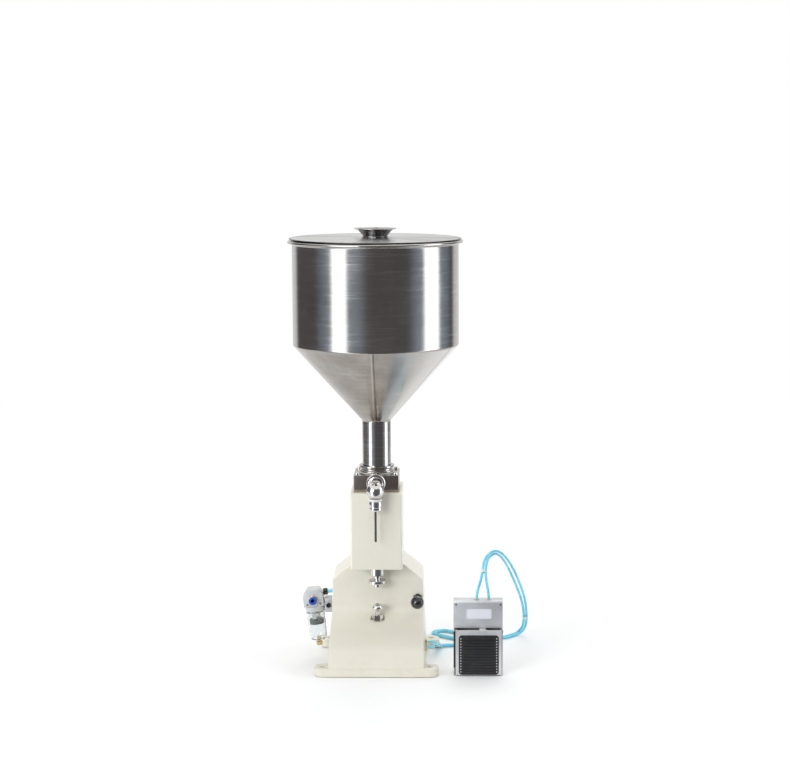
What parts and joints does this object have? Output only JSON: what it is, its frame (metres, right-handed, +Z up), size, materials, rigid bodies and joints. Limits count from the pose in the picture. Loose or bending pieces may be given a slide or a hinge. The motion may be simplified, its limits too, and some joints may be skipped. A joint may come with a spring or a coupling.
{
  "type": "piston liquid filler",
  "caption": "Bench filler with a conical hopper and lid over a pneumatic piston pump, a hanging needle nozzle, stroke stop screw, selector lever, air filter and foot pedal on twin hoses.",
  "frame": {"origin": "underside of the base, on the bench, below the hopper's axis", "axes": "+Z up along the hopper's axis, -Y towards the operator and the nozzle, +X to the operator's right, where the foot valve stands"},
  "size_m": [0.3758, 0.3205, 0.6829],
  "materials": {
    "cream_paint": "satin cream enamel",
    "brushed_steel": "brushed stainless steel",
    "chrome": "polished",
    "aluminium": "fine blasted and anodised",
    "grey_casting": "light grey enamel on a die casting",
    "brass": "satin, lightly nickelled",
    "black_rubber": "ribbed, matt",
    "black_plastic": "high gloss",
    "white_plastic": "smooth",
    "blue_tube": "smooth translucent polyurethane",
    "clear_bowl": "clear polycarbonate"
  },
  "bodies": {
    "root": {"air_cylinder": "aluminium", "air_valve": "aluminium", "body_casting": "cream_paint", "bottom_plate": "brushed_steel", "cylinder_head": "aluminium", "filter_baffle": "black_plastic", "filter_bowl": "clear_bowl", "filter_bracket": "aluminium", "filter_collar": "grey_casting", "filter_element": "white_plastic", "filter_head": "grey_casting", "filter_inlet": "brass", "filter_outlet": "black_plastic", "filter_tube": "blue_tube", "foot_base": "aluminium", "foot_fitting_a": "brass", "foot_fitting_b": "brass", "foot_housing": "aluminium", "foot_pin": "brushed_steel", "foot_spring": "brushed_steel", "foot_valve_block": "aluminium", "hopper": "brushed_steel", "hopper_gasket": "white_plastic", "hose_a": "blue_tube", "hose_b": "blue_tube", "hose_ports": "brass", "inlet_retainer": "brushed_steel", "inlet_spring": "brushed_steel", "jam_nut": "brushed_steel", "nozzle_collar": "white_plastic", "nozzle_needle": "brushed_steel", "nozzle_sleeve": "chrome", "nozzle_spring": "brushed_steel", "outlet_elbow": "chrome", "outlet_nut": "chrome", "pump_barrel": "brushed_steel", "rear_cover": "cream_paint", "selector_nut": "black_plastic", "selector_valve": "aluminium", "tower_cover": "cream_paint", "valve_block": "brushed_steel"},
    "lid": {"lid": "brushed_steel", "lid_knob": "brushed_steel"},
    "piston": {"piston_rod": "chrome", "pump_piston": "aluminium", "pump_piston_seal": "black_rubber", "air_piston": "aluminium", "air_piston_seal": "black_rubber", "stop_disc": "chrome"},
    "stop_washer": {"stop_washer": "brushed_steel"},
    "stop_screw": {"stop_screw": "chrome"},
    "selector": {"selector_lever": "chrome", "selector_knob": "black_plastic"},
    "spool": {"air_valve_spool": "brushed_steel"},
    "inlet_ball": {"inlet_ball": "brushed_steel"},
    "nozzle_ball": {"nozzle_ball": "brushed_steel"},
    "drain": {"filter_drain": "brass"},
    "pedal": {"foot_pedal": "aluminium", "foot_mat": "black_rubber"},
    "plunger": {"foot_plunger": "brushed_steel"}
  },
  "joints": [
    {"name": "lid_lift", "type": "slide", "parent": "root", "child": "lid", "axis": [0, 0, 1], "range_m": [0, 0.08]},
    {"name": "pump_stroke", "type": "slide", "parent": "root", "child": "piston", "axis": [0, 0, 1], "range_m": [-0.026, 0]},
    {"name": "stop_rise", "type": "slide", "parent": "root", "child": "stop_washer", "axis": [0, 0, 1], "range_m": [0, 0.0201]},
    {"name": "stop_turn", "type": "hinge", "parent": "stop_washer", "child": "stop_screw", "pos_m": [0, -0.017, 0.09], "axis": [0, 0, 1], "range_deg": [0, 5760]},
    {"name": "selector_tilt", "type": "hinge", "parent": "root", "child": "selector", "pos_m": [0.0625, -0.002, 0.103], "axis": [-1, 0, 0], "range_deg": [0, 17]},
    {"name": "spool_shift", "type": "slide", "parent": "root", "child": "spool", "axis": [1, 0, 0], "range_m": [0, 0.004]},
    {"name": "inlet_ball_drop", "type": "slide", "parent": "root", "child": "inlet_ball", "axis": [0, 0, 1], "range_m": [-0.003, 0], "stiffness_N_per_m": 150, "springref_m": 0.003, "deforming": ["inlet_spring"]},
    {"name": "nozzle_ball_drop", "type": "slide", "parent": "root", "child": "nozzle_ball", "axis": [0, 0, 1], "range_m": [-0.0015, 0], "stiffness_N_per_m": 200, "springref_m": 0.003, "deforming": ["nozzle_spring"]},
    {"name": "drain_push", "type": "slide", "parent": "root", "child": "drain", "axis": [-0.1132, 0, 0.9936], "range_m": [0, 0.002], "stiffness_N_per_m": 150, "springref_m": -0.002},
    {"name": "pedal_press", "type": "hinge", "parent": "root", "child": "pedal", "pos_m": [0.15655, -0.07, 0.0675], "axis": [1, 0, 0], "range_deg": [0, 7], "stiffness_Nm_per_rad": 3, "springref_deg": -5.73},
    {"name": "plunger_push", "type": "slide", "parent": "root", "child": "plunger", "axis": [0, 0, 1], "range_m": [0, 0.00145], "deforming": ["foot_spring"]}
  ],
  "couplings": [
    {"joint": "stop_rise", "follows": "stop_turn", "m_per_rad": 0.00019894},
    {"joint": "plunger_push", "follows": "pedal_press", "m_per_rad": 0.0115}
  ]
}
